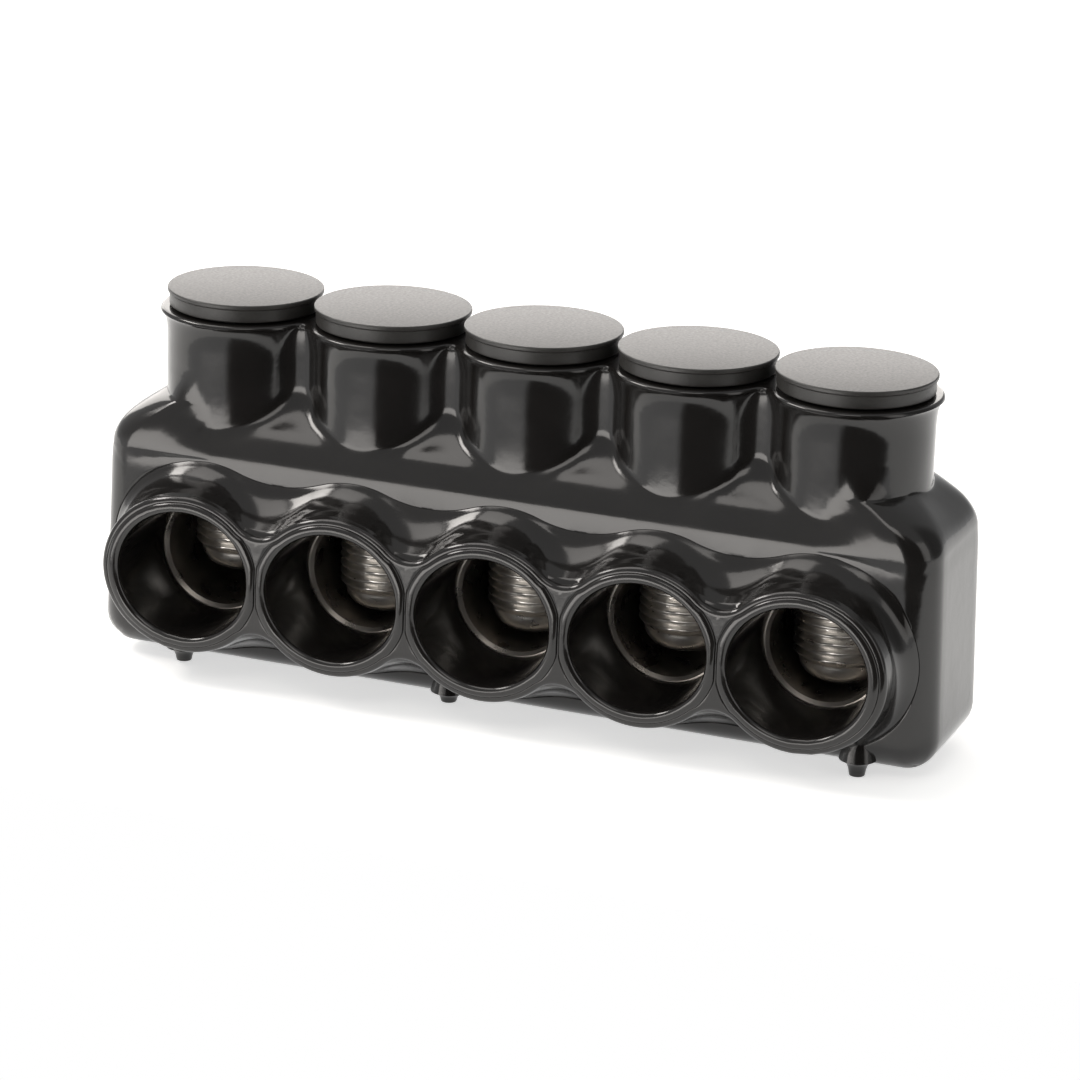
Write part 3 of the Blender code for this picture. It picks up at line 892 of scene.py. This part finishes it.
def make_screw(port, low, high, material):
    """A screw with its thread, domed tip and hex socket, as one grid of radius by height and turn.

    Thread: r = R - depth * clip(s |frac(z / p - t / 2 pi) - 1/2| - c, 0, 1), with the steepness s
    and the crest's flat c, and never outside the dome. Socket: r = flats / 2 / cos(t) by sixths.
    """
    centre = (low + high) / 2
    radius, tip, top = (high[0] - low[0]) / 2, low[2], high[2]
    turn = np.linspace(0, 2 * math.pi, ROUND, endpoint=False)
    rows = int((top - tip) / THREAD_PITCH * ROWS_PER_PITCH)
    height = np.linspace(0, top - tip, rows)[:, None]
    phase = height / THREAD_PITCH - turn / (2 * math.pi)
    wave = np.clip(THREAD_STEEPNESS * np.abs(phase % 1 - 0.5) - CREST_FLAT, 0, 1)
    fade = np.clip((height - DOME_HEIGHT) / THREAD_PITCH, 0, 1)
    envelope_rise = np.clip(height / DOME_HEIGHT, 0, 1)
    dome = TIP_FLAT + (TIP_RADIUS - TIP_FLAT) * np.sqrt(1 - (1 - envelope_rise) ** 2)
    shank = TIP_RADIUS + (radius - TIP_RADIUS) * np.clip((height - DOME_HEIGHT) / (1 * MM), 0, 1)
    envelope = np.where(height < DOME_HEIGHT, dome, shank)
    envelope = np.minimum(envelope, radius - np.clip(height - (top - tip - TOP_CHAMFER), 0, None))
    outside = np.minimum(envelope, radius - THREAD_DEPTH * wave * fade)
    sector = (turn + math.pi / 6) % (math.pi / 3) - math.pi / 6
    hexagon = SOCKET_FLATS / 2 / np.cos(sector)
    floor = top - tip - SOCKET_DEPTH
    inside = [(hexagon + SOCKET_CHAMFER, top - tip), (hexagon, top - tip - SOCKET_CHAMFER), (hexagon, floor)]
    inside += [(hexagon * 0.25, floor - SOCKET_CONE), (hexagon * 0, floor - SOCKET_CONE)]
    radii = np.concatenate([outside[:1] * 0, outside, [row for row, _ in inside]])
    heights = np.concatenate([[0], height[:, 0], [z for _, z in inside]]) + tip
    x = centre[0] + radii * np.cos(turn)
    y = centre[1] + radii * np.sin(turn)
    points = np.stack([x, y, np.broadcast_to(heights[:, None], x.shape)], axis=-1)
    screw = weld(f"threaded_screw_{port}", [whole_grid(points)])
    dress(screw, f"set_screw_{port}", f"screw_{port}", material, sharp=30)


plated = screw_metal()
for port, (low, high) in enumerate(screw_boxes, start=1):
    make_screw(port, low, high, plated)

# %% [markdown]
# ## Access plugs
#
# Each plug is a moulded polyethylene cap with a ribbed stem that grips the chimney. Its face
# has a fine spark-eroded grain, so it looks dark from the side and pale where light grazes it.

# %% Polyethylene plugs
PLUG_EDGE = 0.25 * MM
PLUG_LIP = 0.6 * MM
PLUG_INSET = 0.3 * MM
STEM_WALL = 2.4 * MM
RIB_DEPTH = 0.4 * MM
RIB_WIDTH = 0.9 * MM
RIB_STEP = 2.4 * MM
CAP_THICKNESS = 2.9 * MM
STEM_RADIUS = 9.6 * MM
EDGE_STEPS = 5
SPARK_GRAIN = 0.45 * MM
SPARK_DEPTH = 0.04 * MM


def grained_polyethylene():
    material, tree, shader, where = new_material("grained black polyethylene")
    speckle = grain(tree, where, SPARK_GRAIN, 3.0)
    tint = add(tree, "ShaderNodeMix", {"Factor": speckle}, data_type="RGBA")
    tint.inputs["A"].default_value = linear("#2b2a29")
    tint.inputs["B"].default_value = linear("#353432")
    tree.links.new(tint.outputs["Result"], shader.inputs["Base Color"])
    tree.links.new(spread(tree, speckle, 0.34, 0.46), shader.inputs["Roughness"])
    bump = add(tree, "ShaderNodeBump", {"Height": speckle, "Strength": 0.35, "Distance": SPARK_DEPTH})
    tree.links.new(bump.outputs[0], shader.inputs["Normal"])
    shader.inputs["IOR"].default_value = 1.51
    return material


def plug_profile(low, high):
    """From the top of the cap's axis, over its rounded edge and down the ribs, to the inside."""
    radius, seat = (high[0] - low[0]) / 2, high[2] - CAP_THICKNESS
    turned_share, left = quarter(EDGE_STEPS)
    rows = [(0, high[2])]
    for out, down in zip(left, turned_share):
        rows.append((radius - PLUG_EDGE * out, high[2] - PLUG_EDGE * down))
    rows += [(radius, high[2] - PLUG_LIP), (radius - PLUG_INSET, high[2] - PLUG_LIP - PLUG_INSET)]
    for out, up in zip(turned_share, left):
        rows.append((radius - PLUG_INSET - PLUG_EDGE * out, seat + PLUG_EDGE * up))
    waist = STEM_RADIUS - RIB_DEPTH
    rows.append((waist, seat))
    z = seat - RIB_STEP
    while z - RIB_WIDTH > low[2]:
        rows += [(waist, z), (STEM_RADIUS, z - RIB_DEPTH), (waist, z - RIB_WIDTH)]
        z -= RIB_STEP
    inner = waist - STEM_WALL
    return rows + [(waist, low[2]), (inner, low[2]), (inner, seat), (0, seat)]


polyethylene = grained_polyethylene()
for port, (low, high) in enumerate(plug_boxes, start=1):
    centre = (low + high) / 2
    plug = weld(f"plug_{port}", [turned(plug_profile(low, high), ROUND, centre[:2])])
    dress(plug, f"access_plug_{port}", f"plug_{port}", polyethylene, sharp=30)

# %% [markdown]
# ## Camera
#
# The photograph was taken from the front and a little to the right, from above, with a long
# lens. The angles and the distance were fitted to the five plugs, mouths and metal rings.

# %% Camera at the photograph's angle
AZIMUTH = math.radians(21.077)
ELEVATION = math.radians(18.398)
ROLL = math.radians(1.811)
DISTANCE = 721.5 * MM
AIM = Vector((0, 0, PORT_HEIGHT + 6.76 * MM))
PICTURE = 1080
FOCAL_PIXELS = 4487.24
CENTRE_PIXELS = (537.42, 540.88)
SENSOR = 36.0


def make_camera():
    """Camera axes: back b, right r and up u = b x r, with r and u then rolled about b."""
    back = Vector((
        math.sin(AZIMUTH) * math.cos(ELEVATION),
        -math.cos(AZIMUTH) * math.cos(ELEVATION),
        math.sin(ELEVATION),
    ))
    right = Vector((math.cos(AZIMUTH), math.sin(AZIMUTH), 0))
    up = back.cross(right)
    rolled_right = right * math.cos(ROLL) + up * math.sin(ROLL)
    rolled_up = -right * math.sin(ROLL) + up * math.cos(ROLL)
    data = bpy.data.cameras.new("camera")
    data.sensor_width = SENSOR
    data.lens = FOCAL_PIXELS / PICTURE * SENSOR
    data.shift_x = (PICTURE / 2 - CENTRE_PIXELS[0]) / PICTURE
    data.shift_y = (CENTRE_PIXELS[1] - PICTURE / 2) / PICTURE
    data.clip_start = 10 * MM
    camera = bpy.data.objects.new("camera", data)
    turn = Matrix((rolled_right, rolled_up, back)).transposed().to_4x4()
    camera.matrix_world = Matrix.Translation(AIM + back * DISTANCE) @ turn
    bpy.context.scene.collection.objects.link(camera)
    bpy.context.scene.camera = camera
    print(f"camera at {AIM + back * DISTANCE}, {data.lens:.0f} mm lens")


make_camera()

# %% [markdown]
# ## Studio
#
# Black gloss shows little but what it mirrors, so the room matters more than the lamps. The
# object stands near the front edge of a white table in a dim room. The camera's side is darkest,
# which draws the stripe down each tube.

# %% White tent with an opening
FLOOR_FRONT = -75 * MM
FLOOR_COLOUR = "#f4f4f2"
OPENING_FLATTEN = 0.5
WALL_LEVEL = 0.5
WALL_FOOT, WALL_TOP = -8, 10
FLOOR_GLOW = 0.6


def compass(azimuth, elevation):
    """Unit vector: azimuth 0 looks out of the ports (-Y) and 90 along +X; degrees."""
    azimuth, elevation = math.radians(azimuth), math.radians(elevation)
    flat = math.cos(elevation)
    return Vector((math.sin(azimuth) * flat, -math.cos(azimuth) * flat, math.sin(elevation)))


def opening(tree, direction, towards, inner, outer, level):
    """1 all round, but this level within inner degrees of a direction, and blended up to outer.

    Heights count for less, so the opening is taller than it is wide.
    """
    vector = "ShaderNodeVectorMath"
    flat = add(tree, vector, {0: direction, 1: (1, 1, OPENING_FLATTEN)}, operation="MULTIPLY")
    unit = add(tree, vector, {0: flat.outputs[0]}, operation="NORMALIZE")
    cosine = add(tree, vector, {0: unit.outputs[0], 1: compass(*towards)}, operation="DOT_PRODUCT")
    outer, inner = math.cos(math.radians(outer)), math.cos(math.radians(inner))
    ends = {"From Min": outer, "From Max": inner, "To Min": 1.0, "To Max": level}
    value = {"Value": cosine.outputs["Value"], **ends}
    return add(tree, "ShaderNodeMapRange", value, interpolation_type="SMOOTHSTEP").outputs[0]


def make_room():
    """White to the camera. To all else a white foot under dim walls, dark in front, dim at the right."""
    world = bpy.data.worlds.new("white tent")
    bpy.context.scene.world = world
    world.use_nodes = True
    tree = world.node_tree
    background = tree.nodes["Background"]
    background.inputs["Color"].default_value = (1.0, 1.0, 1.0, 1.0)
    direction = add(tree, "ShaderNodeTexCoord").outputs["Generated"]
    front = opening(tree, direction, (33, -6), 30, 40, 0.06)
    right_gap = opening(tree, direction, (115, 14), 14, 34, 0.4)
    height = add(tree, "ShaderNodeSeparateXYZ", {0: direction}).outputs["Z"]
    foot, top = math.sin(math.radians(WALL_FOOT)), math.sin(math.radians(WALL_TOP))
    ends = {"From Min": foot, "From Max": top, "To Min": 1.0, "To Max": WALL_LEVEL}
    walls = add(tree, "ShaderNodeMapRange", {"Value": height, **ends}, interpolation_type="SMOOTHSTEP")
    level = add(tree, "ShaderNodeMath", {0: front, 1: walls.outputs[0]}, operation="MULTIPLY")
    level = add(tree, "ShaderNodeMath", {0: level.outputs[0], 1: right_gap}, operation="MULTIPLY")
    camera_ray = add(tree, "ShaderNodeLightPath").outputs["Is Camera Ray"]
    level = add(tree, "ShaderNodeMath", {0: level.outputs[0], 1: camera_ray}, operation="MAXIMUM")
    tree.links.new(level.outputs[0], background.inputs["Strength"])


def make_floor():
    """A white table that keeps the object's soft shadow, lifted for the camera and in reflections."""
    half, back = 0.8, 1.2
    mesh = bpy.data.meshes.new("floor")
    outline = [(-half, FLOOR_FRONT), (half, FLOOR_FRONT), (half, back), (-half, back)]
    mesh.from_pydata([(x, y, NUB_TIP) for x, y in outline], [], [(0, 1, 2, 3)])
    floor = bpy.data.objects.new("floor", mesh)
    bpy.context.scene.collection.objects.link(floor)
    material, tree, shader, _ = new_material("white table laminate")
    shader.inputs["Base Color"].default_value = linear(FLOOR_COLOUR)
    shader.inputs["Roughness"].default_value = 0.9
    path = add(tree, "ShaderNodeLightPath").outputs
    rays = {0: path["Is Camera Ray"], 1: path["Is Glossy Ray"]}
    seen = add(tree, "ShaderNodeMath", rays, operation="MAXIMUM")
    glow = add(tree, "ShaderNodeEmission", {"Strength": FLOOR_GLOW})
    lifted = add(tree, "ShaderNodeAddShader", {0: shader.outputs[0], 1: glow.outputs[0]})
    shaders = {0: seen.outputs[0], 1: shader.outputs[0], 2: lifted.outputs[0]}
    mix = add(tree, "ShaderNodeMixShader", shaders)
    tree.links.new(mix.outputs[0], tree.nodes["Material Output"].inputs["Surface"])
    mesh.materials.append(material)


make_floor()
make_room()

# %% [markdown]
# Six softboxes do the rest, each where one kind of highlight in the photograph mirrors. The low
# one in front draws the bright patches at the tubes' feet and between the collars, those above
# light the shoulders, the big one behind grazes the plug tops, and a small strong one at the
# left puts the sparks on the collars' crests.

# %% Softboxes
SOFTBOX_COLOUR = linear("#fffaf5")[:3]


def softbox(name, towards, distance, size, level):
    """A rectangular lamp in a compass direction from the object, facing its middle.

    Its level is its radiance, where white paper in the room is 1: watts = level * pi * area.
    """
    data = bpy.data.lights.new(name, "AREA")
    data.shape = "RECTANGLE"
    data.size, data.size_y = size
    data.energy = level * math.pi * size[0] * size[1]
    data.color = SOFTBOX_COLOUR
    lamp = bpy.data.objects.new(name, data)
    way = compass(*towards)
    lamp.matrix_world = Matrix.Translation(AIM + way * distance) @ way.to_track_quat("Z", "Y").to_matrix().to_4x4()
    lamp.visible_camera = False
    bpy.context.scene.collection.objects.link(lamp)


softbox("front softbox", (-23, -2), 0.9, (0.75, 0.31), 4.0)
softbox("overhead softbox", (-75, 64), 0.7, (0.42, 0.30), 2.4)
softbox("lamp over the camera", (14, 46), 0.7, (0.30, 0.20), 2.4)
softbox("back softbox", (-152, 20), 1.0, (1.0, 0.6), 2.8)
softbox("right strip", (72, 20), 0.7, (0.26, 0.5), 1.0)
softbox("left kicker", (-78, 43), 0.7, (0.34, 0.13), 12.0)
bpy.context.scene.view_settings.view_transform = "Standard"
